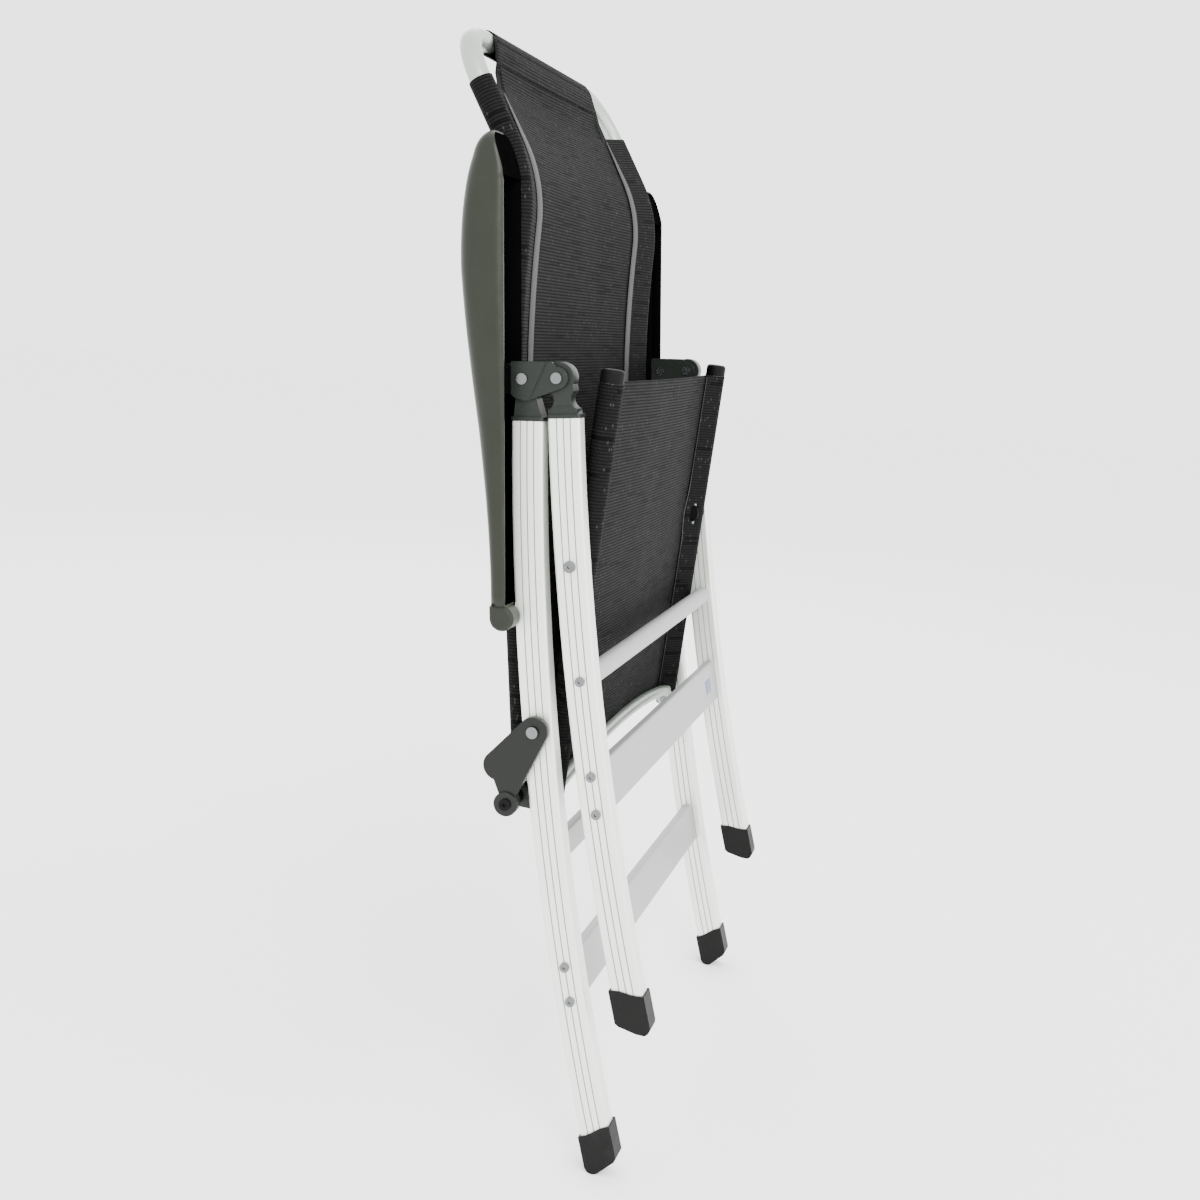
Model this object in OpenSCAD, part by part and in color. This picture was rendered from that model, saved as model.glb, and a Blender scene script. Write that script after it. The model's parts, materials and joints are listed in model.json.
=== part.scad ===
// Folding garden armchair, standing folded on its rear feet. Millimetres, +Z up, +X to the sitter's left.
// It faces -Y. Each side is drawn with x measured inboard from the outer face of its legs, and y and z
// measured from the leg hinge, with the upper legs upright. stand() leans the whole chair to its rest pose.

/* [Overall] */
// Width over the outer faces of the legs
frame_w = 580; // [560:5:600]
// How far the folded chair leans back, in degrees
lean = 4.6; // [4:0.1:5]
// How far the rear legs swing from folded to open, in degrees
open_angle = 44.9; // [44:0.1:45.2]
// Height of the leg hinge above the floor when folded
hinge_height = 808.1; // [800:0.1:815]
// How far the leg hinge sits in front of the middle of the folded chair
hinge_forward = 4.6; // [3:0.1:8]

/* [Legs] */
// Depth of the leg profile, front to back
leg_d = 32.5; // [32:0.1:33]
// Width of the leg profile, across the chair
leg_w = 20; // [19.5:0.1:20]
// Wall of the leg profile
leg_wall = 1.6; // [1.2:0.1:2]
// Radius of the front leg's bend, to its middle
front_leg_bend = 3357; // [3350:1:3365]
// Radius of the rear leg's bend, to its middle
rear_leg_bend = 3311; // [3305:1:3315]

/* [Tubes] */
// Outer radius of the seat rails and the backrest tubes
tube_r = 11; // [10.5:0.1:11]
// Wall of the seat rails and the backrest tubes
tube_wall = 1.4; // [1:0.1:1.6]
// Distance from the legs' outer face to the middle of the rails and backrest tubes
rail_in = 41; // [40.5:0.1:41.5]
// Radius of the backrest tube's top corners
corner_r = 62; // [55:1:66]

/* [Soft parts] */
// Outer radius of the fabric sleeves
sleeve_r = 12.6; // [12.5:0.1:12.8]
// Thickness of the fabric panels' solids
panel_t = 3; // [2:0.5:3]

/* [Armrests] */
// How far an armrest stands out beyond the legs
arm_out = 26; // [24:0.5:27]
// How far an armrest reaches inboard of the legs' outer face
arm_in = 27.4; // [27.2:0.1:27.4]

/* [Hidden] */
$fn = 48;

fit = 0.05;                       // radial clearance of every running pin
gap = 0.1;                        // clearance round a piece pushed over a leg
pin_r = 3.5;
bush_r = 7.5;
rivet_r = 4;

// Pivots, as [y, z] from the leg hinge
slide_at = [35.4, -0.7];          // slide shoe on the rear hinge
seat_at = [-12.6, -184.5];        // seat on the front legs
link_at = [22.7, -351.4];         // link on the rear legs
back_at = [51.5, -427.4];         // backrest, seat bracket and link
arm_at = [51, -236];              // armrest on the backrest

// Each leg is one arc about a point far in front of the chair, as [y, z]
front_centre = [-3361, 60];
rear_centre = [-3279, -85];
front_top_z = -39;
rear_top_z = -42;
front_boot_z = -619.6;
rear_boot_z = -772;
boot_cover = 22;                  // length of leg inside its boot, below the boot's top edge
function leg_slope(centre, bend, z) = asin((centre[1] - z) / bend);
function leg_mid(centre, bend, z) = centre[0] + sqrt(pow(bend, 2) - pow(centre[1] - z, 2));
function front_mid(z) = leg_mid(front_centre, front_leg_bend, z);
function rear_mid(z) = leg_mid(rear_centre, rear_leg_bend, z);
function front_slope(z) = leg_slope(front_centre, front_leg_bend, z);
function rear_slope(z) = leg_slope(rear_centre, rear_leg_bend, z);

// Crossbars, as [y, z] of the middle
front_round_z = -299;
front_flat_z = -414;
rear_flat_z = -614;
rear_upper_z = -482;
bar_r = 10.5;

// Boots
boot_d = leg_d + 3.5;
boot_w = leg_w + 3.5;
heel_r = 9;
heel_at = [boot_d / 2 - heel_r, -31.5];
sole_tilt = open_angle - lean - rear_slope(rear_boot_z);
function sole_z(y) = heel_at[1] - heel_r * cos(sole_tilt)
    + (heel_at[0] - heel_r * sin(sole_tilt) - y) * tan(sole_tilt);
toe_flat = 0.8;                   // depth of the level flat on a front boot's toe

// Seat, drawn about its pivot: z along the rails, y out of the sitting side
seat_tilt = 8.32;
rail_y = -4;
rail_front = 181.5;
rail_rear = -246;
cap_len = 14;
panel_y = 7;                      // distance from a tube's middle to its panel's middle
back_pin = [28.3, -249.6];        // the backrest pivot in the seat's own frame
bow_rise = 18;
bow_y = rail_y - 1;
bow_end = rail_rear - 8;             // the rivet; the bar itself meets its tabs further up
bow_foot = bow_end + 13;
bow_half = frame_w / 2 - rail_in - 14;
bow_bend = (bow_half * bow_half + bow_rise * bow_rise) / (2 * bow_rise);
bow_tube_r = 7;

// Backrest: its tubes are straight at the foot, bowed above that, and bent back for the headrest
back_low = [49, -415];
foot_tilt = -2.3;                 // lean of the straight part, forward being positive
foot_len = 325.3;
lumbar_r = 1600;
run_top = 6.5;                    // lean just below the bend
head_tilt = 25.6;                 // lean of the headrest, to the rear
knee_len = 44;
head_len = 163;                   // knee to the middle of the top bar
back_mid = back_low + foot_len * [-sin(foot_tilt), cos(foot_tilt)];
lumbar_turn = run_top - foot_tilt;
lumbar_rise = lumbar_r * [cos(lumbar_turn) - 1, sin(lumbar_turn)];
back_knee = back_mid + knee_len * [-sin(run_top), cos(run_top)]
    + [lumbar_rise[0] * cos(foot_tilt) - lumbar_rise[1] * sin(foot_tilt),
    lumbar_rise[0] * sin(foot_tilt) + lumbar_rise[1] * cos(foot_tilt)];
knee_turn = head_tilt + run_top;
knee_r = knee_len / tan(knee_turn / 2);
half_in = frame_w / 2 - rail_in;
panel_edge = tube_r - 0.8;        // from a tube's middle to the edge of a panel's solid

// Armrest outline
function bez(a, b, c, d, n) = [for (i = [0:n]) let (t = i / n, s = 1 - t)
    s * s * s * a + 3 * s * s * t * b + 3 * s * t * t * c + t * t * t * d];
arm_under = 46.5;
arm_outline = concat(bez([63.8, -224], [63, -110], [88, -10], [95.3, 105], 14),
    bez([95.3, 105], [97, 165], [86, 236], [60, 236.5], 10),
    [[57, 233], [arm_under, 197], [arm_under, -215], [arm_at[0], -224]]);
arm_end_r = 12.8;
arm_wall = 5;
arm_inner_wall = 2.2;
rack_z = [-18, 190];
rack_pitch = 16;

// ---- helpers ----
module stand() translate([0, -hinge_forward, hinge_height]) rotate([-lean, 0, 0]) children();
module on_left() mirror([1, 0, 0]) translate([-frame_w / 2, 0, 0]) children();
module on_right() translate([-frame_w / 2, 0, 0]) children();
module both() {
    on_left() children();
    on_right() children();
}
module in_yz() rotate([90, 0, 90]) children();
module slab(x0, x1) translate([x0, 0, 0]) in_yz() linear_extrude(x1 - x0) children();
module axle(at, x0, x1, r) translate([x0, at[0], at[1]]) rotate([0, 90, 0]) cylinder(h = x1 - x0, r = r);
module disc(at, r) translate(at) circle(r);

// Rounded rectangle made of true arcs
module rounded(d, w, r) {
    square([d - 2 * r, w], center = true);
    square([d, w - 2 * r], center = true);
    for (x = [-1, 1], y = [-1, 1]) disc([x * (d / 2 - r), y * (w / 2 - r)], r);
}

// Sweep a profile, drawn as [depth, width], down an arc about [y, z] from angle a0 to a1
module arc_sweep(centre, r, a0, a1) translate([0, centre[0], centre[1]]) in_yz() rotate([0, 0, a0])
    rotate_extrude(angle = a1 - a0, $fn = 360) translate([r, 0]) children();
module leg_profile() difference() {
    rounded(leg_d, leg_w, 3);
    square([leg_d - 2 * leg_wall, leg_w - 2 * leg_wall], center = true);
    for (x = [-7, 0, 7], side = [-1, 1]) translate([x, side * leg_w / 2]) rotate(45)
        square(0.8, center = true);
}

// A pan-head screw from the outer face of a leg inboard
module screw(at, len, head_x = 0) {
    difference() {
        axle(at, head_x - 2.6, head_x, 5);
        translate([head_x - 3, at[0], at[1]]) rotate([0, 90, 0]) cylinder(h = 1.9, r = 2, $fn = 6);
    }
    axle(at, head_x, head_x + len, 2.5);
}

// ---- front frame ----
module leg(centre, bend, top_z, boot_z, pin_at, screws) difference() {
    translate([leg_w / 2, 0, 0])
        arc_sweep(centre, bend, -leg_slope(centre, bend, boot_z - boot_cover),
            -leg_slope(centre, bend, top_z)) leg_profile();
    axle(pin_at, -1, leg_w + 1, rivet_r + fit);
    for (at = screws) axle(at, -1, leg_w + 1, 2.5 + fit);
}
module front_leg() color("gainsboro")
    leg(front_centre, front_leg_bend, front_top_z, front_boot_z, seat_at, front_screw_at());
function front_screw_at() = [[front_mid(front_round_z), front_round_z],
    for (dz = [-19, 19]) [front_mid(front_flat_z + dz), front_flat_z + dz]];

module bar_between() translate([-frame_w / 2 + leg_w, 0, 0]) children();
bar_len = frame_w - 2 * leg_w;

module front_upper_bar() color("silver") bar_between() difference() {
    axle([front_mid(front_round_z) - 1.5, front_round_z], 0, bar_len, bar_r);
    for (x = [-1, bar_len - 24]) axle([front_mid(front_round_z), front_round_z], x, x + 25, 2.5 + fit);
}
// A flat hollow bar lying along the leg's slope
module flat_bar(at, slope, height, depth) bar_between() difference() {
    translate([0, at[0], at[1]]) rotate([-slope, 0, 0]) in_yz() linear_extrude(bar_len)
        difference() {
            rounded(depth, height, 3);
            square([depth - 3.2, height - 16], center = true);
        }
    children();
}
module screw_holes(points) for (at = points, x = [-1, bar_len - 24]) axle(at, x, x + 25, 2.5 + fit);
module front_lower_bar() color("silver")
    flat_bar([front_mid(front_flat_z), front_flat_z], front_slope(front_flat_z), 52, 12)
        screw_holes([for (dz = [-19, 19]) [front_mid(front_flat_z + dz), front_flat_z + dz]]);

module leg_plug() rotate(90) translate([0, 0, -16]) linear_extrude(17)
    square([leg_d - 2 * leg_wall - 4 * gap, leg_w - 2 * leg_wall - 4 * gap], center = true);

module front_hinge() color("darkslategray") difference() {
    union() {
        translate([leg_w / 2, front_mid(front_top_z), front_top_z]) rotate([-front_slope(front_top_z), 0, 0]) {
            leg_plug();
            linear_extrude(4) rotate(90) rounded(leg_d + 2, leg_w + 2, 3);
        }
        slab(1, leg_w - 1) difference() {
            union() {
                circle(16);
                polygon([[-20, -35.5], [10.5, -35.5], [10.5, -33], [9, 0], [-14, 0]]);
            }
            disc([13.5, -22], 9);
            disc([-22.5, -20], 10);
        }
    }
    axle([0, 0], -1, leg_w + 1, rivet_r + fit);
    // room for the rear hinge's web
    slab(0, leg_w) polygon([[13.5, -28], [40, -28], [40, -60], [13.5, -60]]);
}

// Outline of a boot, y to the rear and z up the leg, for a rear boot
module boot_outline() difference() {
    union() {
        polygon(concat([[heel_at[0], heel_at[1]], [boot_d / 2, heel_at[1]], [boot_d / 2, 0]],
            [for (i = [1:10]) let (t = i / 10) [boot_d * (0.5 - t), 9 * (t - sin(360 * t) / 9)]],
            [[-boot_d / 2, sole_z(-boot_d / 2) + 2], [3 - boot_d / 2, sole_z(3 - boot_d / 2)]],
            [heel_at - heel_r * [sin(sole_tilt), cos(sole_tilt)]]));
        disc(heel_at, heel_r);
    }
}
module boot_block() translate([-boot_w / 2, 0, 0]) in_yz() linear_extrude(boot_w) boot_outline();
// The socket follows the leg's own arc
module boot_socket(centre, bend, boot_z) translate([leg_w / 2, 0, 0])
    arc_sweep(centre, bend, -leg_slope(centre, bend, boot_z - boot_cover - 0.5),
        -leg_slope(centre, bend, boot_z + 30)) rounded(leg_d + 2 * gap, leg_w + 2 * gap, 3);

module front_boot() color("dimgray") difference() {
    translate([leg_w / 2, front_mid(front_boot_z), front_boot_z]) difference() {
        rotate([-front_slope(front_boot_z), 0, 0]) mirror([0, 1, 0]) boot_block();
        rotate([lean, 0, 0]) translate([-50, -50, front_toe_z - 20]) cube([100, 100, 20]);
    }
    boot_socket(front_centre, front_leg_bend, front_boot_z);
}
// Height of the front boot's level flat, from the boot's own origin, in the leaning frame
toe_lean = front_slope(front_boot_z) + lean;
front_toe_z = heel_at[0] * sin(toe_lean) + heel_at[1] * cos(toe_lean) - heel_r + toe_flat;

module front_screws() color("silver") for (at = front_screw_at()) screw(at, leg_w + 18);

module seat_pivot_bolts() color("silver") {
    difference() {
        axle(seat_at, -2.8, 0, 6);
        translate([-3, seat_at[0], seat_at[1]]) rotate([0, 90, 0]) cylinder(h = 2, r = 2.2, $fn = 6);
    }
    axle(seat_at, 0, rail_in + 16, rivet_r);
}
module pivot_spacers() color("dimgray") difference() {
    axle(seat_at, leg_w + 0.3, rail_in - tube_r - 0.3, 14);
    axle(seat_at, leg_w, rail_in, rivet_r + fit);
}
module pivot_knobs() color("black") difference() {
    union() {
        axle(seat_at, rail_in + tube_r + 0.4, rail_in + tube_r + 4, 13);
        axle(seat_at, rail_in + tube_r + 4, rail_in + tube_r + 7, 9);
    }
    axle(seat_at, rail_in, rail_in + 16.2, rivet_r + fit);
}

// ---- rear frame ----
module rear_leg() color("gainsboro")
    leg(rear_centre, rear_leg_bend, rear_top_z, rear_boot_z, link_at, rear_screw_at());
function rear_screw_at() = [for (dz = [-18, 18]) [rear_mid(rear_flat_z + dz), rear_flat_z + dz]];
module rear_upper_bar() color("silver")
    flat_bar([rear_mid(rear_upper_z), rear_upper_z], rear_slope(rear_upper_z), 27, 12);
module rear_lower_bar() color("silver")
    flat_bar([rear_mid(rear_flat_z), rear_flat_z], rear_slope(rear_flat_z), 50, 12) screw_holes(rear_screw_at());

// Outline of a cheek of the rear hinge
module cheek() {
    disc([0, 0], 11);
    polygon([[0, 11], [5, 15.5], [47, 16.3], [47, -16], [44, -18.7], [33, -22], [28, -21.5], [-5, -9.8]]);
}
module rear_hinge() color("darkslategray") difference() {
    union() {
        translate([leg_w / 2, rear_mid(rear_top_z), rear_top_z]) rotate([-rear_slope(rear_top_z), 0, 0]) {
            leg_plug();
            linear_extrude(4) rotate(90) rounded(leg_d + 2, leg_w + 2, 3);
        }
        slab(1, leg_w - 1) polygon([[17, -38.5], [46, -38.5], [43, -14], [24, -14]]);
        for (x = [[-4, 0.7], [leg_w - 0.7, leg_w + 3]]) slab(x[0], x[1]) cheek();
        slab(0.5, leg_w - 0.5) polygon([[26, -24], [44, -24], [44, -14], [26, -14]]);
    }
    axle([0, 0], -5, leg_w + 4, rivet_r + fit);
    axle(slide_at, -5, leg_w + 4, rivet_r + fit);
    // the slanting groove across the outer cheek
    slab(-5, -3) polygon([[7.6, 17], [10.2, 17], [29.3, -23], [26.7, -23]]);
}
module rivet(at) {
    axle(at, -4, leg_w + 3, rivet_r);
    axle(at, -6.2, -4, 5.5);
    axle(at, leg_w + 3, leg_w + 4.2, 5.5);
}
module hinge_rivets() color("silver") rivet([0, 0]);
module shoe_rivets() color("silver") rivet(slide_at);

module rear_boot() color("dimgray") difference() {
    translate([leg_w / 2, rear_mid(rear_boot_z), rear_boot_z]) rotate([-rear_slope(rear_boot_z), 0, 0])
        boot_block();
    boot_socket(rear_centre, rear_leg_bend, rear_boot_z);
}
module rear_screws() color("silver") for (at = rear_screw_at()) screw(at, leg_w + 18);
module link_rivets() color("silver") {
    axle(link_at, -12, leg_w, rivet_r);
    axle(link_at, -14, -12, 6);
    axle(link_at, leg_w, leg_w + 1.2, 6);
}

// ---- links ----
lobe_at = [60.5, -388.5];
module link_plate() color("darkslategray") difference() {
    union() {
        slab(-11, -3) {
            disc(link_at, 15);
            disc(lobe_at, 15);
            polygon([link_at + [9, 12], lobe_at + [9, 12], lobe_at + [4, -14.5], back_at + [6, 6],
                back_at + [-8, 4], link_at + [-13, -7.5]]);
        }
        axle(back_at, -13, -1.5, 12.5);
    }
    axle(link_at, -20, 0, rivet_r + fit);
    axle(back_at, -20, 0, pin_r + fit);
}
module link_bolt() color("dimgray") {
    difference() {
        axle(back_at, -15.5, -13, 6);
        translate([-16, back_at[0], back_at[1]]) rotate([0, 90, 0]) cylinder(h = 2, r = 2.2, $fn = 6);
    }
    axle(back_at, -13, leg_w + 0.8, pin_r);
    axle(back_at, -1.4, leg_w + 0.8, 8.5);
}

// ---- slide shoes ----
module slide_shoe() color("black") difference() {
    slab(4, leg_w - 4) {
        disc(slide_at, 8);
        polygon([slide_at + [0, -6], [50, -6.7], [50, 5.3], slide_at + [0, 6]]);
        translate([55.5, slide_at[1]]) rounded(12, 30, 4);
    }
    axle(slide_at, 0, leg_w, rivet_r + fit);
}

// ---- seat, drawn about its pivot ----
module seat_frame() translate([0, seat_at[0], seat_at[1]]) rotate([seat_tilt, 0, 0]) children();
module rail_tube(z0, z1, r) translate([rail_in, rail_y, z0]) cylinder(h = z1 - z0, r = r);

module seat_rail() color("silver") difference() {
    seat_frame() difference() {
        rail_tube(rail_rear, rail_front, tube_r);
        rail_tube(rail_rear - 1, rail_front + 1, tube_r - tube_wall);
    }
    axle(seat_at, 0, 100, rivet_r + fit);
}
module seat_cap() color("black") seat_frame() {
    rail_tube(rail_front - 15, rail_front, tube_r - tube_wall - gap);
    rail_tube(rail_front, rail_front + cap_len - 4, sleeve_r - 0.4);
    translate([rail_in, rail_y, rail_front + cap_len - 4]) rotate_extrude() intersection() {
        union() {
            square([sleeve_r - 4.4, 4]);
            disc([sleeve_r - 4.4, 0], 4);
        }
        square([sleeve_r, 4]);
    }
}
module seat_rear_bar() color("silver") seat_frame() {
    translate([0, bow_y, bow_foot + bow_rise - bow_bend]) rotate([-90, 0, 0]) rotate([0, 0, -90 - bow_sweep / 2])
        rotate_extrude(angle = bow_sweep, $fn = 360) translate([bow_bend, 0]) circle(bow_tube_r);
    for (side = [-1, 1]) translate([side * (half_in - tube_r - 1.7), 0, 0]) {
        translate([-1.3, 0, 0]) in_yz() linear_extrude(2.6) difference() {
            hull() {
                disc([bow_y, bow_end], 8);
                disc([bow_y, bow_foot], 8);
            }
            disc([bow_y, bow_end], 2.5 + fit);
        }
    }
}
bow_sweep = 2 * asin(bow_half / bow_bend) + 0.1;
module seat_bracket() color("dimgray") difference() {
    seat_frame() {
        rail_tube(rail_rear, rail_rear + 25, tube_r - tube_wall - gap);
        rail_tube(rail_rear - 16, rail_rear, tube_r);
        slab(21.5, 27.5) {
            disc(back_pin, 11.5);
            polygon([[rail_y - 8, rail_rear - 2], [back_pin[0], back_pin[1] + 11.5],
                [back_pin[0], back_pin[1] - 11.5], [rail_y - 8, rail_rear - 14]]);
        }
        slab(27.4, rail_in) polygon([[rail_y - 6, rail_rear - 1.5], [rail_y + 6, rail_rear - 1.5],
            [rail_y + 6, rail_rear - 14.5], [rail_y - 6, rail_rear - 14.5]]);
    }
    axle(back_at, 0, 100, pin_r + fit);
    seat_frame() axle([bow_y, bow_end], rail_in, 60, 2.5 + fit);
}
module seat_rivets() color("silver") seat_frame() {
    axle([bow_y, bow_end], rail_in + 2, rail_in + tube_r + 3, 2.5);
    axle([bow_y, bow_end], rail_in + tube_r + 3, rail_in + tube_r + 4.4, 4.5);
}
module seat_hinge_bolts() color("silver") {
    axle(back_at, 21.5, rail_in + 13, pin_r);
    axle(back_at, rail_in + 13, rail_in + 16, 6);
}
// Cross-section of a fabric sling, its panel set off from the middle of its two sleeves
module ring(r, wall) difference() {
    circle(r);
    circle(r - wall);
}
module sling_profile(off) {
    for (x = [-half_in, half_in]) translate([x, 0]) ring(sleeve_r, sleeve_r - tube_r - 0.3);
    translate([0, off]) square([2 * (half_in - panel_edge), panel_t], center = true);
}
module seat_fabric() color("black") seat_frame() difference() {
    translate([0, rail_y, bow_foot + 9]) linear_extrude(rail_front - bow_foot - 10)
        sling_profile(panel_y);
    // hollow rear edge that clears the bowed bar
    translate([0, 50, bow_foot + bow_rise + 14 - bow_bend]) rotate([90, 0, 0])
        intersection() {
            cylinder(h = 100, r = bow_bend, $fn = 360);
            translate([0, bow_bend, 50]) cube([2 * (half_in - sleeve_r), 80, 200], center = true);
        }
    // room for the pivot knobs
    for (side = [-1, 1]) translate([side * half_in, 50, 0]) rotate([90, 0, 0]) cylinder(h = 100, r = 25);
}

// ---- backrest ----
module hinge_bush() color("black") difference() {
    axle(back_at, 28.2, rail_in + 12.6, bush_r);
    axle(back_at, 28, rail_in + 13, pin_r + fit);
}
// Profiles are drawn as [across, depth]: the straight foot, the bow above it, the bend and the headrest
module mid_frame() translate([0, back_mid[0], back_mid[1]]) rotate([foot_tilt, 0, 0]) children();
module back_foot(cut = 0) mid_frame() mirror([0, 0, 1]) linear_extrude(foot_len - cut) children();
module back_bow() mid_frame() translate([0, -lumbar_r, 0]) in_yz()
    rotate_extrude(angle = lumbar_turn, $fn = 360) translate([lumbar_r, 0]) rotate(-90) children();
module head_frame() translate([0, back_knee[0], back_knee[1]]) rotate([-head_tilt, 0, 0]) children();
module back_bend() head_frame() translate([0, knee_r, knee_len]) in_yz() rotate([0, 0, 180])
    rotate_extrude(angle = knee_turn, $fn = 180) translate([knee_r, 0]) rotate(90) children();
module head_run(top) head_frame() translate([0, 0, knee_len]) linear_extrude(top - knee_len) children();

module back_tube() color("silver") difference() {
    translate([rail_in, 0, 0]) {
        back_foot() ring(tube_r, tube_wall);
        back_bow() ring(tube_r, tube_wall);
    }
    axle(arm_at, 0, 100, pin_r + fit);
}
module head_tube() color("silver") translate([rail_in, 0, 0]) {
    back_bend() ring(tube_r, tube_wall);
    head_run(head_len - corner_r) ring(tube_r, tube_wall);
    head_frame() translate([corner_r, 0, head_len - corner_r]) rotate([90, 0, 0])
        rotate([0, 0, 90]) rotate_extrude(angle = 90, $fn = 180) translate([corner_r, 0])
            ring(tube_r, tube_wall);
}
module back_top_bar() color("silver") head_frame()
    translate([-half_in + corner_r, 0, head_len]) rotate([0, 90, 0])
        linear_extrude(2 * (half_in - corner_r)) ring(tube_r, tube_wall);
module at_foot() translate([0, back_low[0], back_low[1]]) rotate([foot_tilt, 0, 0]) children();
module back_lower_bar() color("silver") at_foot() translate([-half_in + tube_r + 0.1, 0, 22])
    rotate([0, 90, 0]) linear_extrude(2 * (half_in - tube_r - 0.1)) ring(8, 1.4);
module back_end() color("black") difference() {
    union() {
        translate([rail_in, 0, 0]) at_foot() translate([0, 0, -3])
            cylinder(h = 28, r = tube_r - tube_wall - gap);
        axle(back_at, 28.8, rail_in + 12.4, 11.6);
        slab(rail_in - 10, rail_in + 10) polygon([back_at + [-11, 0], back_at + [10, 0],
            [back_low[0] + 9.5, back_low[1] - 0.6], [back_low[0] - 9.5, back_low[1] - 0.6]]);
    }
    axle(back_at, 20, 60, bush_r + fit);
}
module back_fabric() color("black") difference() {
    union() {
        back_foot(34) sling_profile(-panel_y);
        back_bow() sling_profile(-panel_y);
    }
    // openings for the arm pins
    for (x = [-half_in, half_in]) translate([x, 0, 0]) axle(arm_at, -20, 20, 9);
}
// The sleeves stop short of the bare corners, and the panel meets the sleeve over the top bar
module head_fabric() color("black") {
    back_bend() sling_profile(-panel_y);
    difference() {
        head_run(head_len - panel_edge) sling_profile(-panel_y);
        for (x = [-half_in, half_in]) head_frame() translate([x, 50, head_len + 8]) rotate([90, 0, 0])
            cylinder(h = 100, r = corner_r + 13);
    }
    head_frame() translate([-half_in + corner_r + 18, 0, head_len]) rotate([0, 90, 0])
        linear_extrude(2 * (half_in - corner_r - 18)) ring(sleeve_r, sleeve_r - tube_r - 0.3);
}
module arm_pins() color("silver") {
    axle(arm_at, -20, rail_in + 12, pin_r);
    axle(arm_at, rail_in + 12.9, rail_in + 15, 6);
    axle(arm_at, rail_in + 11.5, rail_in + 13.5, pin_r);
}

// ---- armrests ----
module arm_bush() color("dimgray") difference() {
    axle(arm_at, -19.5, -2.2, bush_r);
    axle(arm_at, -21, 0, pin_r + fit);
}
module armrest() color("darkolivegreen") difference() {
    union() {
        slab(-arm_out, arm_in) polygon(arm_outline);
        axle(arm_at, -arm_out, -2, arm_end_r);
        slab(-arm_out, -2) polygon([arm_at + [0, 0], arm_at + [arm_end_r, 0], [63.8, -215], [46.5, -215],
            arm_at + [-10, 6]]);
    }
    // the channel over the hinge, and the shallower one over the rear leg
    translate([-arm_out + arm_wall, 0, -40]) cube([arm_out + arm_in - arm_wall - arm_inner_wall, 76, 250]);
    translate([-2, 0, -260]) cube([arm_in - arm_inner_wall + 2, 56.5, 230]);
    translate([-2, 0, -260]) cube([60, 100, 38]);
    axle(arm_at, -20.5, 0, bush_r + fit);
}
module arm_rack() color("black") {
    translate([-16, 71.5, rack_z[0]]) cube([36, 4.4, rack_z[1] - rack_z[0]]);
    for (z = [rack_z[0] : rack_pitch : rack_z[1] - 6], x = [-16, 17]) translate([x, 66, z])
        cube([3, 6, 6]);
}

stand() on_left() front_leg();  // front_leg_left
stand() on_right() front_leg();  // front_leg_right
stand() front_upper_bar();
stand() front_lower_bar();
stand() on_left() front_hinge();  // front_hinge_left
stand() on_right() front_hinge();  // front_hinge_right
stand() on_left() front_boot();  // front_boot_left
stand() on_right() front_boot();  // front_boot_right
stand() both() front_screws();
stand() both() seat_pivot_bolts();
stand() both() pivot_spacers();
stand() both() pivot_knobs();
stand() on_left() rear_leg();  // rear_leg_left
stand() on_right() rear_leg();  // rear_leg_right
stand() rear_upper_bar();
stand() rear_lower_bar();
stand() on_left() rear_hinge();  // rear_hinge_left
stand() on_right() rear_hinge();  // rear_hinge_right
stand() on_left() rear_boot();  // rear_boot_left
stand() on_right() rear_boot();  // rear_boot_right
stand() both() rear_screws();
stand() both() hinge_rivets();
stand() both() shoe_rivets();
stand() both() link_rivets();
stand() on_left() link_plate();  // link_plate_left
stand() on_right() link_plate();  // link_plate_right
stand() on_left() link_bolt();  // link_bolt_left
stand() on_right() link_bolt();  // link_bolt_right
stand() on_left() slide_shoe();  // slide_shoe_left
stand() on_right() slide_shoe();  // slide_shoe_right
stand() on_left() seat_rail();  // seat_rail_left
stand() on_right() seat_rail();  // seat_rail_right
stand() seat_rear_bar();
stand() on_left() seat_cap();  // seat_cap_left
stand() on_right() seat_cap();  // seat_cap_right
stand() on_left() seat_bracket();  // seat_bracket_left
stand() on_right() seat_bracket();  // seat_bracket_right
stand() both() seat_rivets();
stand() both() seat_hinge_bolts();
stand() seat_fabric();
stand() on_left() hinge_bush();  // hinge_bush_left
stand() on_right() hinge_bush();  // hinge_bush_right
stand() on_left() back_tube();  // back_tube_left
stand() on_right() back_tube();  // back_tube_right
stand() on_left() head_tube();  // head_tube_left
stand() on_right() head_tube();  // head_tube_right
stand() back_top_bar();
stand() back_lower_bar();
stand() on_left() back_end();  // back_end_left
stand() on_right() back_end();  // back_end_right
stand() back_fabric();
stand() head_fabric();
stand() both() arm_pins();
stand() on_left() arm_bush();  // arm_bush_left
stand() on_right() arm_bush();  // arm_bush_right
stand() on_left() armrest();  // armrest_left
stand() on_right() armrest();  // armrest_right
stand() on_left() arm_rack();  // arm_rack_left
stand() on_right() arm_rack();  // arm_rack_right
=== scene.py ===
"""Folding garden armchair: materials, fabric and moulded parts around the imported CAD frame."""
import json
import math

import bmesh
import bpy
from mathutils import Matrix, Vector, geometry, noise


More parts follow.
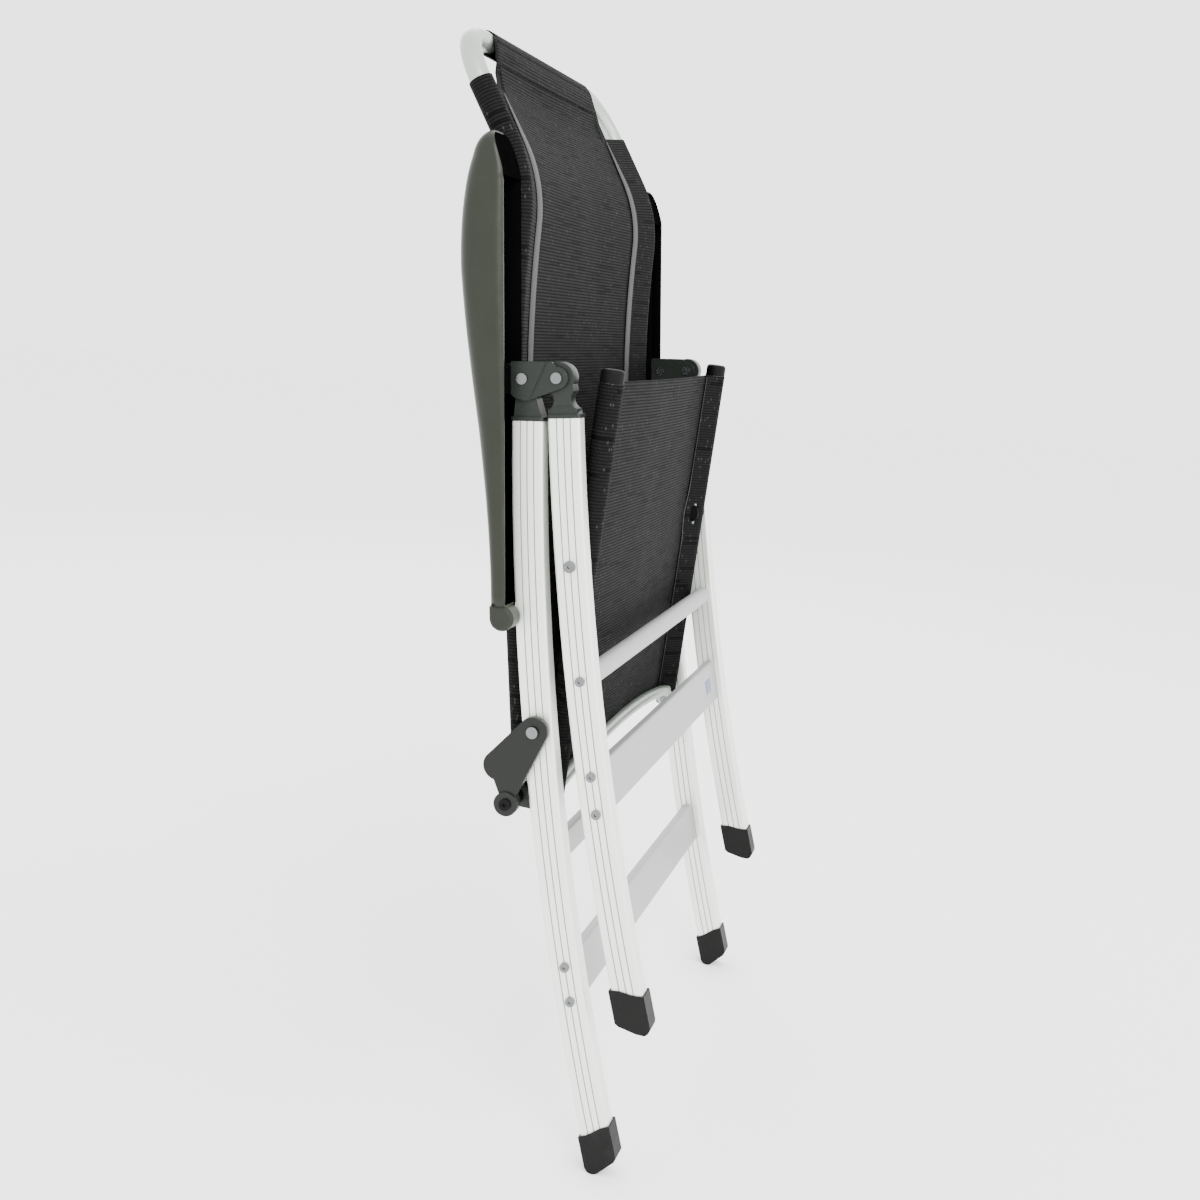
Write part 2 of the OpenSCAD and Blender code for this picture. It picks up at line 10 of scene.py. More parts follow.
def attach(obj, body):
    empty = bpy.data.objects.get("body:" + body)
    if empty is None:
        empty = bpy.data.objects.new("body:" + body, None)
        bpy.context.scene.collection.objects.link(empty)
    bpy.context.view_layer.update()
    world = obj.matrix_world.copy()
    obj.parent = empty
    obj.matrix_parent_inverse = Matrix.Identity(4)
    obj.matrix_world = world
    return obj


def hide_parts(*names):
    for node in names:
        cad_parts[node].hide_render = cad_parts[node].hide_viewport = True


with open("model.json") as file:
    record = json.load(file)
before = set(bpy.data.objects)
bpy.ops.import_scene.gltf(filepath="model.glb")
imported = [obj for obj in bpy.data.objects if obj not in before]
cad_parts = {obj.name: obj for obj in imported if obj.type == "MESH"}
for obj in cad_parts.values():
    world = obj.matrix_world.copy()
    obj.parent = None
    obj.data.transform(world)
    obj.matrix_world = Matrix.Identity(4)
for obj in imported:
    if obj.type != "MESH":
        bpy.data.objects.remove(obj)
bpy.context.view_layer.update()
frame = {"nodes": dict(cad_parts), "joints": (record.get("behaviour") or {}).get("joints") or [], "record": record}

SIDES = ((-1, "right"), (1, "left"))

# ---- driving sizes, in metres, as part.scad has them ----
LEAN = math.radians(4.6)           # how far the folded chair leans to the rear
HALF_W = 0.290                     # half the width over the legs
RAIL_IN = 0.041                    # legs' outer face to the middle of a rail
HALF_IN = HALF_W - RAIL_IN         # middle of the chair to the middle of a rail
SEAT_TILT = math.radians(8.32)     # the folded seat's rails lean to the front
RAIL_BACK = 0.004                  # the rail runs this far to the underside of the pivot
RAIL_REAR, RAIL_FRONT = -0.246, 0.1815             # its ends, along it from the pivot
BOW_RISE = 0.019                   # how far the seat's rear edge is hollowed
BACK_LOW = (0.049, -0.415)         # foot of a backrest tube, as (y, z) from the leg hinge
FOOT_TILT, FOOT_LEN = math.radians(2.3), 0.3253    # its straight part leans to the rear
LUMBAR_R = 1.600                   # above that it bows forward
RUN_TOP = math.radians(6.5)        # its lean to the front just below the bend
HEAD_TILT = math.radians(25.6)
KNEE_LEN = 0.044                   # the bend's corner to either end of its round
HEAD_LEN = 0.163                   # the bend's corner to the middle of the top bar
CORNER_R = 0.062                   # the tube's round corner into the top bar
ARM_OUT, ARM_IN = 0.0259, 0.0273   # an armrest's sides, outboard and inboard of the legs' outer face
ARM_AT = (0.051, -0.236)           # its pin, as (y, z) from the leg hinge
ARM_END_R, ARM_BORE_R = 0.0127, 0.0077
ARM_UNDER = 0.0465                 # the armrest's underside, behind the leg hinge
# A leg's arc: its centre, as (y, z) from the leg hinge, and its radius
FRONT_LEG = ((-3.361, 0.060), 3.357)
REAR_LEG = ((-3.279, -0.085), 3.311)

KNEE_R = KNEE_LEN / math.tan((HEAD_TILT + RUN_TOP) / 2)
# A backrest tube from its foot to its top bar: (length, how fast it turns to the rear)
BACK_RUN = [(FOOT_LEN, 0), (LUMBAR_R * (FOOT_TILT + RUN_TOP), -1 / LUMBAR_R),
            (KNEE_R * (HEAD_TILT + RUN_TOP), 1 / KNEE_R), (HEAD_LEN - KNEE_LEN, 0)]
TOP_S = sum(length for length, _ in BACK_RUN)

# ---- sizes of the fabric, in metres ----
CLOTH_R = 0.0122                   # middle of the cloth round a tube
CLOTH_T = 0.0009
TAPE_T = 0.0006
SEAM_T = 0.0005
FLAP, FLAP_GAP = 0.004, CLOTH_T * 1.3              # a sleeve's flap runs on past the seam, behind the panel
SLEEVE_STEPS, PANEL_COLUMNS = 22, 44
RIPPLE = 0.0016                    # slack in a panel
SEAT_SEED, BACK_SEED = 3.0, 8.0    # where each panel's slack is taken from the noise
RIB = 0.0034                       # pitch of the ribs along the cloth
WARP = 0.0013                      # pitch of the warp across it
DASH = 0.034                       # length of a woven dash
DASH_OVER, SPECK_OVER = 0.93, 0.984                # random values over these make a dash, or a speck

PANEL_OFF = 0.007                  # the seat's panel, out of the middle of its rails
SEAM_IN = 0.024                    # a sleeve's seam, inboard of its rail
SEAT_SAG = 0.006
SEAT_LOW, SEAT_HIGH = RAIL_REAR + 0.003, RAIL_FRONT - 0.0002
PANEL_EDGE = 0.004                 # the panel starts this far past its sleeves
SEAT_STEPS, SEAM_STEPS = 200, 90
SEAM_HALF = 0.0011                 # half the width of the sewn line beside a sleeve
SEAM_PAST, SEAM_SUNK = 0.002, 0.0026               # it lies inboard of the seam, below the panel
SEAM_FROM, SEAM_SHORT = 0.006, 0.008               # it starts this far up, and is this much shorter
PINCH, PINCH_REACH, PINCH_FADE = 0.012, 0.026, 0.06    # the panel is drawn in beside a pivot
SQUASHED, SQUASHED_TO = 0.0108, 0.0175             # half a sleeve's width at a pivot, and half that length
ROUND_TOL = 0.0003                 # how near to CLOTH_R counts as round the rail
# Openings of the sleeve for a pivot: (from, to) inboard of the rail, and half the length
PIVOT_OPENINGS = ((0.0114, 0.0158, 0.0147), (0.0158, 0.0190, 0.0104))

BACK_OFF = 0.0005                  # the backrest's panel, to the front of the middle of its tubes
BACK_SEAM_IN = 0.048
BACK_SAG = 0.005
BACK_EDGE = 0.036                  # the cloth's lower edge, along the tube from its foot
SLEEVE_TOP = TOP_S - CORNER_R + 0.004
CUT_R, CUT_UP = CORNER_R + 0.013, 0.008            # the round cut of the panel at a top corner
BAR_FROM, BAR_LEN = 0.055, 0.050   # over this stretch the panel comes forward to the top bar
BACK_STEPS, TAPE_STEPS = 130, 120
TAPE_W = 0.017                     # the tape over a seam
TAPE_FROM, TAPE_SHORT = 0.030, 0.036               # it starts this far up, and is this much shorter
TAPE_WIDENS, TAPE_WIDENS_LEN = 0.26, 0.20          # it widens from here up, over this length
TAPE_ENDS, TAPE_ENDS_LEN = 0.01, 0.09              # and narrows again towards the sleeve's top
TAPE_LEAST, TAPE_SLOPE = 0.0006, 0.04              # half its least width, and its slant across
TAPE_OVER, TAPE_OVER_BAR = 0.0016, 0.0011          # how far it stands out of the cloth
HEM_IN = 0.018                     # the hem ends this far short of a top corner
HEM_TURN, HEM_STEPS, HEM_COLUMNS = 232, 26, 40     # degrees round the bar
HEM_OUT, HEM_LOW = 0.0004, 0.006   # its front edge, past the round and below the bar's middle
HEM_BACK = ((0.002, -0.016), (-BACK_OFF - 0.006, -0.030))    # it comes down to the panel, as (depth, s)

# ---- sizes of the mouldings, in metres ----
ARM_WALL = 0.0021
CROWN, ARM_EDGE = 0.017, 0.007     # radius of an armrest's outer and inner top edges
# Its back from the hook to the tip: two curves through (y, z) from the leg hinge, and their steps
ARM_CURVES = ((((0.0637, -0.224), (0.063, -0.110), (0.088, -0.010), (0.0952, 0.105)), 34),
              (((0.0952, 0.105), (0.097, 0.165), (0.086, 0.2360), (0.060, 0.2364)), 30))
ARM_TIP = (0.0595, 0.2364)
FACET_Z, FACET_LEN = 0.196, 0.0404                 # where the underside turns up to the tip
FACET_BACK, FACET_UP, FACET_CURVE = 0.0115, 0.0385, 0.85    # how far it goes, and how it curves
CLOSED_Z = 0.190                   # the channel is closed from here to the tip
TIP_R, TIP_TUCK = 0.020, 0.7       # the tip's sides are drawn in
THIN = 0.02                        # below this thickness the side's points are spaced closer
SIDE_POINTS = (0, 0.35, 0.7)       # on the inner side, as shares of the thickness
LEAST_THICK = 0.0005
INNER_FACES = 5                    # faces of a row on the armrest's inner side, which take the painted shade
ARM_MIDDLE = (0, 0.060, 0.0)       # a point well inside a shell
HOOK_TOP = -0.2236                 # the hook ends here, where the shell starts
HOOK_STEPS = 48
BORE_FLOOR, BORE_LEAST = -0.0206, 0.0003           # the pin's blind bore, from its middle
HOOK_FACE, HOOK_FACE_EDGE, HOOK_FACE_CUT = -0.0021, -0.0029, 0.0008    # its inner face and that face's edge
HOOK_CROWN = ((-0.0225, 0), (-0.0249, 0.0010), (-ARM_OUT, 0.0034))     # its outer edge: (x, in from the rim)
LABEL_Z, LABEL_X = -0.414, (0.214, 0.240)          # its middle's height from the leg hinge, and its ends
LABEL_HALF, LABEL_OUT, LABEL_T = 0.0085, 0.0064, 0.0005    # it lies in front of the legs' middle

LEG_GROOVES = (-0.0070, 0.0, 0.0070)                 # the fine grooves on a leg's side, across it, painted dark as their shade
GROOVE_W = 0.0005

# ---- view and light ----
CAMERA_AT = (-1.6914, -0.4472, 0.0262)             # from the leg hinge of the upright chair
CAMERA_AHEAD = (0.9446, 0.3053, -0.1200)
CAMERA_LENS, CAMERA_SHIFT = 45.2, (0.0399, -0.0557)
WORLD_STRENGTH = 3.0
FLOOR_REACH = 14
AIM = Vector((0, 0, 0.6))          # what the lights point at
LIGHTS = (("key", (-2.6, -1.6, 2.4), 1.6, 110),
          ("fill", (-0.5, -3.4, 1.6), 2.2, 55),
          ("rim", (2.4, 1.4, 2.6), 1.8, 45))


def joint_at(name):
    return Vector(next(j for j in frame["joints"] if j["name"] == name)["pos_m"])


HINGE = joint_at("fold")
SEAT_PIN = joint_at("seat_fold")


def place(x, y, z):
    """A point of the upright chair, with y and z from the leg hinge, in the leaning row frame."""
    return Vector((x, HINGE.y + y * math.cos(LEAN) + z * math.sin(LEAN),
                   HINGE.z - y * math.sin(LEAN) + z * math.cos(LEAN)))


def leaning(x, y, z):
    """The same for a direction."""
    return Vector((x, y * math.cos(LEAN) + z * math.sin(LEAN), z * math.cos(LEAN) - y * math.sin(LEAN)))


def upright(p):
    """A point of the leaning frame the other way: (y, z) from the leg hinge."""
    y, z = p.y - HINGE.y, p.z - HINGE.z
    return y * math.cos(LEAN) - z * math.sin(LEAN), y * math.sin(LEAN) + z * math.cos(LEAN)


# ---- camera, light and floor ----
def make_camera():
    data = bpy.data.cameras.new("camera")
    cam = bpy.data.objects.new("camera", data)
    bpy.context.scene.collection.objects.link(cam)
    data.sensor_width = 36
    data.lens = CAMERA_LENS
    data.shift_x, data.shift_y = CAMERA_SHIFT
    data.clip_end = 60
    ahead = leaning(*CAMERA_AHEAD).normalized()
    right = ahead.cross(leaning(0, 0, 1)).normalized()
    above = right.cross(ahead)
    turn = Matrix((right, above, -ahead)).transposed().to_4x4()
    cam.matrix_world = Matrix.Translation(place(*CAMERA_AT)) @ turn
    bpy.context.scene.camera = cam


def make_floor():
    mesh = bpy.data.meshes.new("floor")
    r = FLOOR_REACH
    mesh.from_pydata([(-r, -r, 0), (r, -r, 0), (r, r, 0), (-r, r, 0)], [], [(0, 1, 2, 3)])
    floor = bpy.data.objects.new("floor", mesh)
    bpy.context.scene.collection.objects.link(floor)
    mat = bpy.data.materials.new("floor")
    mat.use_nodes = True
    shader = mat.node_tree.nodes["Principled BSDF"]
    shader.inputs["Base Color"].default_value = (0.98, 0.98, 0.98, 1)
    shader.inputs["Roughness"].default_value = 0.9
    shader.inputs["Specular IOR Level"].default_value = 0.1
    mesh.materials.append(mat)


def make_lights():
    world = bpy.data.worlds.new("studio")
    bpy.context.scene.world = world
    world.use_nodes = True
    background = world.node_tree.nodes["Background"]
    background.inputs["Color"].default_value = (1, 1, 1, 1)
    background.inputs["Strength"].default_value = WORLD_STRENGTH
    for name, where, size, power in LIGHTS:
        data = bpy.data.lights.new(name, "AREA")
        data.size, data.energy = size, power
        light = bpy.data.objects.new(name, data)
        light.location = where
        light.rotation_euler = (AIM - Vector(where)).to_track_quat("-Z", "Y").to_euler()
        bpy.context.scene.collection.objects.link(light)


# ---- material kit ----
def scaled(colour, by):
    return tuple(min(1, c * by) for c in colour)


class Nodes:
    """Short names for building a node material."""

    def __init__(self, name):
        self.mat = bpy.data.materials.new(name)
        self.mat.use_nodes = True
        self.tree = self.mat.node_tree
        self.shader = self.tree.nodes["Principled BSDF"]

    def add(self, kind, inputs=None, **settings):
        node = self.tree.nodes.new("ShaderNode" + kind)
        for key, value in settings.items():
            setattr(node, key, value)
        for key, value in (inputs or {}).items():
            if isinstance(value, bpy.types.NodeSocket):
                self.tree.links.new(value, node.inputs[key])
            else:
                node.inputs[key].default_value = value
        return node

    def math(self, operation, a, b=0.0):
        return self.add("Math", {0: a, 1: b}, operation=operation).outputs[0]

    def noise(self, coords, scale, detail=3.0, rough=0.5):
        return self.add("TexNoise", {"Vector": coords, "Scale": scale, "Detail": detail,
                                     "Roughness": rough}).outputs["Fac"]

    def stretch(self, coords, scale):
        return self.add("Mapping", {"Vector": coords, "Scale": scale}).outputs["Vector"]

    def mix(self, factor, a, b):
        node = self.add("Mix", data_type="RGBA")
        for index, value in ((0, factor), (6, a), (7, b)):
            if isinstance(value, bpy.types.NodeSocket):
                self.tree.links.new(value, node.inputs[index])
            else:
                node.inputs[index].default_value = value if index == 0 else (*value, 1)
        return node.outputs[2]

    def span(self, value, low, high, to_low=0.0, to_high=1.0):
        return self.add("MapRange", {"Value": value, "From Min": low, "From Max": high,
                                     "To Min": to_low, "To Max": to_high}).outputs["Result"]

    def local(self):
        return self.add("TexCoord").outputs["Object"]

    def to(self, socket, value):
        if isinstance(value, bpy.types.NodeSocket):
            self.tree.links.new(value, self.shader.inputs[socket])
        else:
            self.shader.inputs[socket].default_value = value

    def bump(self, height, strength, distance, below=None):
        inputs = {"Height": height, "Strength": strength, "Distance": distance}
        if below is not None:
            inputs["Normal"] = below
        return self.add("Bump", inputs).outputs["Normal"]


def anodised(name, colour, rough):
    """Satin anodised aluminium: fine drawn streaks, faint clouds and light rub marks."""
    n = Nodes(name)
    here = n.local()
    fine = n.noise(n.stretch(here, (1, 1, 0.02)), 900, 4, 0.6)
    cloud = n.noise(here, 14)
    rub = n.span(n.noise(n.stretch(here, (1, 1, 0.2)), 160, 5, 0.7), 0.62, 0.75)
    tone = n.mix(cloud, scaled(colour, 0.93), scaled(colour, 1.05))
    n.to("Base Color", n.mix(n.math("MULTIPLY", rub, 0.25), tone, scaled(colour, 0.8)))
    n.to("Metallic", 0.75)
    n.to("Roughness", n.span(fine, 0.2, 0.8, rough - 0.06, rough + 0.10))
    n.to("Normal", n.bump(fine, 0.16, 0.0004))
    return n.mat


def leg_metal(name, centre, bend):
    """A leg's anodised profile: fine grooves along both sides, painted dark as their shade and bumped in, measured
    across the leg's own arc.
    """
    n = Nodes(name)
    here = n.local()
    axis = place(0, *centre)
    split = n.add("SeparateXYZ", {"Vector": here})
    y = n.math("SUBTRACT", split.outputs["Y"], axis.y)
    z = n.math("SUBTRACT", split.outputs["Z"], axis.z)
    reach = n.math("SQRT", n.math("ADD", n.math("MULTIPLY", y, y), n.math("MULTIPLY", z, z)))
    across = n.math("SUBTRACT", reach, bend)
    line = None
    for offset in LEG_GROOVES:
        away = n.math("ABSOLUTE", n.math("SUBTRACT", across, offset))
        groove_shade = n.span(away, GROOVE_W * 0.5, GROOVE_W * 1.6, 1.0, 0.0)
        line = groove_shade if line is None else n.math("MAXIMUM", line, groove_shade)
    along = n.math("MULTIPLY", n.math("ARCTAN2", z, y), bend)
    spread = n.add("CombineXYZ", {"X": across, "Y": n.math("MULTIPLY", along, 0.02),
                                  "Z": split.outputs["X"]}).outputs["Vector"]
    fine = n.noise(spread, 900, 4, 0.6)
    tone = n.mix(n.noise(here, 9, 2), (0.70, 0.74, 0.67), (0.80, 0.83, 0.77))
    # the grooves' shade is painted dark into the colour
    n.to("Base Color", n.mix(n.math("MULTIPLY", line, 0.85), tone, (0.10, 0.13, 0.10)))
    n.to("Metallic", 0.55)
    n.to("Roughness", n.span(fine, 0.2, 0.8, 0.30, 0.46))
    n.to("Normal", n.bump(n.math("SUBTRACT", fine, n.math("MULTIPLY", line, 2)), 0.14, 0.0004))
    return n.mat


def coated(name, colour):
    """Powder-coated metal: a fine orange peel over a flat colour."""
    n = Nodes(name)
    here = n.local()
    peel = n.noise(here, 1400, 2)
    cloud = n.noise(here, 20)
    n.to("Base Color", n.mix(cloud, scaled(colour, 0.94), scaled(colour, 1.04)))
    n.to("Metallic", 0.15)
    n.to("Roughness", n.span(cloud, 0.3, 0.7, 0.45, 0.56))
    n.to("Normal", n.bump(peel, 0.2, 0.0003))
    return n.mat


def moulded(name, colour, edge_highlight, rough, grain=700, depth=0.0003, spec=0.22):
    """Grained moulded plastic with a painted highlight along its convex edges, in patches."""
    n = Nodes(name)
    here = n.local()
    cells = n.add("TexVoronoi", {"Vector": here, "Scale": grain}).outputs["Distance"]
    cloud = n.noise(here, 26, 4)
    # painted highlight: the convex edges are made paler, broken up by noise
    edge = n.span(n.add("NewGeometry").outputs["Pointiness"], 0.52, 0.60)
    edge_highlight_mask = n.math("MULTIPLY", edge, n.span(n.noise(here, 90), 0.35, 0.7))
    tone = n.mix(cloud, scaled(colour, 0.85), scaled(colour, 1.15))
    n.to("Base Color", n.mix(n.math("MULTIPLY", edge_highlight_mask, 0.45), tone, edge_highlight))
    n.to("Roughness", n.span(cloud, 0.3, 0.7, rough - 0.05, rough + 0.08))
    n.to("Specular IOR Level", spec)
    n.to("Normal", n.bump(cells, 0.22, depth, n.bump(cloud, 0.08, 0.0006)))
    return n.mat


def plated(name):
    """Bright zinc plate with a faint crazed dulling."""
    n = Nodes(name)
    dull = n.noise(n.local(), 500, 4, 0.7)
    n.to("Base Color", n.mix(dull, (0.08, 0.083, 0.085), (0.22, 0.225, 0.23)))
    n.to("Metallic", 1.0)
    n.to("Roughness", n.span(dull, 0.3, 0.7, 0.16, 0.34))
    n.to("Normal", n.bump(dull, 0.1, 0.0002))
    return n.mat


def woven(name, ground, rib_highlight):
    """Ribbed outdoor mesh: ribs across the chair with a painted highlight on their crests, warp threads along it,
    dark dashes and pale specks.
    """
    n = Nodes(name)
    flat = n.add("UVMap", uv_map="cloth").outputs["UV"]
    split = n.add("SeparateXYZ", {"Vector": flat})
    across, along = split.outputs["X"], split.outputs["Y"]
    along = n.math("ADD", along, n.math("MULTIPLY", n.noise(flat, 60, 2), 0.0006))
    row = n.math("DIVIDE", along, RIB)
    rib = n.math("ABSOLUTE", n.math("SINE", n.math("MULTIPLY", row, math.pi)))
    warp = n.math("ABSOLUTE", n.math("SINE", n.math("MULTIPLY", across, math.pi / WARP)))
    row_id = n.math("FLOOR", row)
    shift = n.add("TexWhiteNoise", {"W": row_id}, noise_dimensions="1D").outputs["Value"]
    cell = n.math("FLOOR", n.math("ADD", n.math("DIVIDE", across, DASH), n.math("MULTIPLY", shift, 9)))
    pick = n.add("CombineXYZ", {"X": cell, "Y": row_id}).outputs["Vector"]
    dash = n.math("GREATER_THAN", n.add("TexWhiteNoise", {"Vector": pick}).outputs["Value"], DASH_OVER)
    bit = n.add("CombineXYZ", {"X": n.math("FLOOR", n.math("DIVIDE", across, WARP)), "Y": row_id})
    speck = n.add("TexWhiteNoise", {"Vector": bit.outputs["Vector"]}).outputs["Value"]
    bright = n.math("GREATER_THAN", speck, SPECK_OVER)
    # painted highlight: the rib crests are made paler, stronger in some cells
    tone = n.mix(n.math("MULTIPLY", rib, n.span(speck, 0, 1, 0.55, 1.0)), ground, rib_highlight)
    tone = n.mix(n.math("MULTIPLY", bright, 0.35), tone, (0.055, 0.055, 0.058))
    tone = n.mix(n.math("MULTIPLY", dash, 0.85), tone, scaled(ground, 0.35))
    n.to("Base Color", tone)
    n.to("Roughness", n.span(rib, 0, 1, 0.9, 0.65))
    n.to("Specular IOR Level", 0.05)
    height = n.math("ADD", n.math("MULTIPLY", rib, 0.75), n.math("MULTIPLY", warp, 0.25))
    n.to("Normal", n.bump(n.math("SUBTRACT", height, n.math("MULTIPLY", dash, 0.5)), 0.55, 0.0006))
    return n.mat


def thread_tape(name, colour):
    """Woven edging tape: wavering threads."""
    n = Nodes(name)
    twill = n.add("TexWave", {"Vector": n.local(), "Scale": 420.0, "Distortion": 1.5}).outputs["Fac"]
    n.to("Base Color", n.mix(twill, scaled(colour, 0.7), colour))
    n.to("Roughness", 0.7)
    n.to("Normal", n.bump(twill, 0.4, 0.0003))
    return n.mat


def paint(node, material):
    data = frame["nodes"][node].data
    data.materials.clear()
    data.materials.append(material)


def soften(node, width):
    """Weld the CAD mesh's shared corners and round its sharp edges a little."""
    obj = frame["nodes"][node]
    weld = obj.modifiers.new("weld", "WELD")
    weld.merge_threshold = 0.00002
    bevel = obj.modifiers.new("bevel", "BEVEL")
    bevel.width = width
    bevel.segments = 2
    bevel.limit_method = "ANGLE"
    bevel.angle_limit = math.radians(35)
    bevel.harden_normals = False


# ---- mesh kit ----
def finish_piece(name, mesh, body, material, smooth=True):
    mesh.materials.append(material)
    if smooth:
        mesh.polygons.foreach_set("use_smooth", [True] * len(mesh.polygons))
    obj = bpy.data.objects.new(name, mesh)
    bpy.context.scene.collection.objects.link(obj)
    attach(obj, body)
    return obj


def thicken(obj, thickness):
    solid = obj.modifiers.new("thickness", "SOLIDIFY")
    solid.thickness = thickness
    solid.offset = 0
    return obj


def grid_mesh(name, rows, uvs=None, skip=None):
    """A mesh of quads over rows of points; skip(i, j) leaves a quad out."""
    width = len(rows[0])
    points = [p for row in rows for p in row]
    faces, corners = [], []
    for i in range(len(rows) - 1):
        for j in range(width - 1):
            if skip and skip(i, j):
                continue
            quad = ((i, j), (i + 1, j), (i + 1, j + 1), (i, j + 1))
            faces.append([row * width + column for row, column in quad])
            corners += quad
    mesh = bpy.data.meshes.new(name)
    mesh.from_pydata(points, [], faces)
    if uvs:
        layer = mesh.uv_layers.new(name="cloth")
        for loop, (i, j) in zip(layer.data, corners):
            loop.uv = uvs[i][j]
    tidy = bmesh.new()
    tidy.from_mesh(mesh)
    loose = [v for v in tidy.verts if not v.link_faces]
    bmesh.ops.delete(tidy, geom=loose, context="VERTS")
    tidy.to_mesh(mesh)
    tidy.free()
    return mesh


def smoothstep(t):
    t = max(0.0, min(1.0, t))
    return t * t * (3 - 2 * t)


# ---- slings ----
def sleeve_section(off, seam_in):
    """Points from the seam out over the tube and back to the seam's flap, round a tube at (0, 0)."""
    seam = Vector((-seam_in, off))
    away = math.atan2(seam.y, seam.x)
    lean_in = math.acos(CLOTH_R / seam.length)
    turn = -1 if off > 0 else 1
    start, end = away + turn * lean_in, away - turn * lean_in
    sweep = (end - start) % (2 * math.pi) if turn > 0 else -((start - end) % (2 * math.pi))
    ring = []
    for k in range(SLEEVE_STEPS + 1):
        angle = start + sweep * k / SLEEVE_STEPS
        ring.append(Vector((math.cos(angle), math.sin(angle))) * CLOTH_R)
    flap = seam + Vector((-FLAP, -math.copysign(FLAP_GAP, off)))
    lead = [seam.lerp(ring[0], k / 5) for k in range(5)]
    back = [ring[-1].lerp(flap, k / 5) for k in range(1, 6)]
    return lead + ring + back


def dome(x, seam_x):
    """1 in the middle of a panel, 0 at its seams."""
    return 1 - (x / seam_x) ** 2


def sling_section(off, seam_in, sag):
    """A sling from flap to flap: (x, depth, distance along the cloth, whether it is in the panel)."""
    seam_x = HALF_IN - seam_in
    right = [(HALF_IN + p.x, p.y, False) for p in sleeve_section(off, seam_in)]
    left = [(-x, depth, False) for x, depth, _ in reversed(right)]
    across = [seam_x * (2 * k / PANEL_COLUMNS - 1) for k in range(1, PANEL_COLUMNS)]
    middle = [(x, off - math.copysign(sag, off) * dome(x, seam_x), True) for x in across]
    section, run = [], 0.0
    for x, depth, in_panel in left + middle + right:
        if section:
            run += math.hypot(x - section[-1][0], depth - section[-1][1])
        section.append((x, depth, run, in_panel))
    return section


def seat_point(x, depth, s):
    """A point of the seat's own frame: depth out of the sitting side, s along the rails from the pivot."""
    y0, z0 = upright(SEAT_PIN)
    depth -= RAIL_BACK
    return place(x, y0 + depth * math.cos(SEAT_TILT) - s * math.sin(SEAT_TILT),
                 z0 + depth * math.sin(SEAT_TILT) + s * math.cos(SEAT_TILT))


def back_point(x, depth, s):
    """A point along the backrest tube, s up from its foot, depth to the rear of its middle."""
    y, z, tilt = *BACK_LOW, FOOT_TILT
    for k, (length, bend) in enumerate(BACK_RUN):
        step = s if k == len(BACK_RUN) - 1 else min(s, length)
        turned = tilt + step * bend
        if bend:
            y += (math.cos(tilt) - math.cos(turned)) / bend
            z += (math.sin(turned) - math.sin(tilt)) / bend
        else:
            y += step * math.sin(tilt)
            z += step * math.cos(tilt)
        tilt = turned
        s -= step
        if s <= 0:
            break
    return place(x, y + depth * math.cos(tilt), z - depth * math.sin(tilt))


def ripple(x, s, seed):
    """Slack in the cloth, the same each run."""
    long_waves = noise.noise(Vector((x * 9, s * 7, seed)))
    short_waves = noise.noise(Vector((x * 26, s * 30, seed)))
    return RIPPLE * (long_waves + 0.4 * short_waves)


def pinch(s):
    """How far the seat's cloth is drawn in, s along the rail from a pivot."""
    return math.exp(-((s / PINCH_REACH) ** 2)) * PINCH


def pressed(x, depth, s):
    """How far a point of the seat's sleeve moves across where a pivot's spacer and knob press on it."""
    off = HALF_IN - abs(x)
    if abs(s) < SQUASHED_TO and abs(math.hypot(off, depth) - CLOTH_R) < ROUND_TOL:
        return math.copysign(off - max(-SQUASHED, min(SQUASHED, off)), x)
    return 0


def build_seat(cloth, tape):
    section = sling_section(PANEL_OFF, SEAM_IN, SEAT_SAG)
    seam_x = HALF_IN - SEAM_IN
    length = SEAT_HIGH - SEAT_LOW
    rows, uvs = [], []
    for i in range(SEAT_STEPS + 1):
        row, uv = [], []
        for x, depth, run, in_panel in section:
            start = SEAT_LOW + PANEL_EDGE + BOW_RISE * dome(x, seam_x) if in_panel else SEAT_LOW
            s = start + (SEAT_HIGH - start) * (i / SEAT_STEPS)
            if in_panel:
                shift = -math.copysign(pinch(s), x) * max(0, 1 - (seam_x - abs(x)) / PINCH_FADE)
                depth += ripple(x, s, SEAT_SEED) * dome(x, seam_x)
            else:
                shift = pressed(x, depth, s)
            row.append(seat_point(x + shift, depth, s))
            uv.append((run, s))
        rows.append(row)
        uvs.append(uv)

    def cut(i, j):
        s = SEAT_LOW + length * (i + 0.5) / SEAT_STEPS
        inboard = HALF_IN - abs((section[j][0] + section[j + 1][0]) / 2)
        return any(near < inboard < far and abs(s) < half for near, far, half in PIVOT_OPENINGS)

    mesh = grid_mesh("seat_sling", rows, uvs, cut)
    seat = thicken(finish_piece("seat_sling", mesh, "seat", cloth), CLOTH_T)
    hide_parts("seat_fabric")
    trims = [build_seat_seam(side, name, tape) for side, name in SIDES]


def build_seat_seam(side, name, tape):
    """The sewn line beside a sleeve of the seat."""
    rows = []
    for k in range(SEAM_STEPS + 1):
        s = SEAT_LOW + SEAM_FROM + (SEAT_HIGH - SEAT_LOW - SEAM_SHORT) * k / SEAM_STEPS
        x = HALF_IN - SEAM_IN - pinch(s) - SEAM_PAST
        rows.append([seat_point(side * (x + dx), PANEL_OFF - SEAM_SUNK, s) for dx in (-SEAM_HALF, SEAM_HALF)])
    mesh = grid_mesh("seat_seam", rows)
    return thicken(finish_piece(f"seat_seam_{name}", mesh, "seat", tape), SEAM_T)


def to_bar(depth, s, bar_depth):
    """The depth of the backrest's cloth, which comes forward over the top bar."""
    return depth + (bar_depth - depth) * smoothstep((s - TOP_S + BAR_FROM) / BAR_LEN)


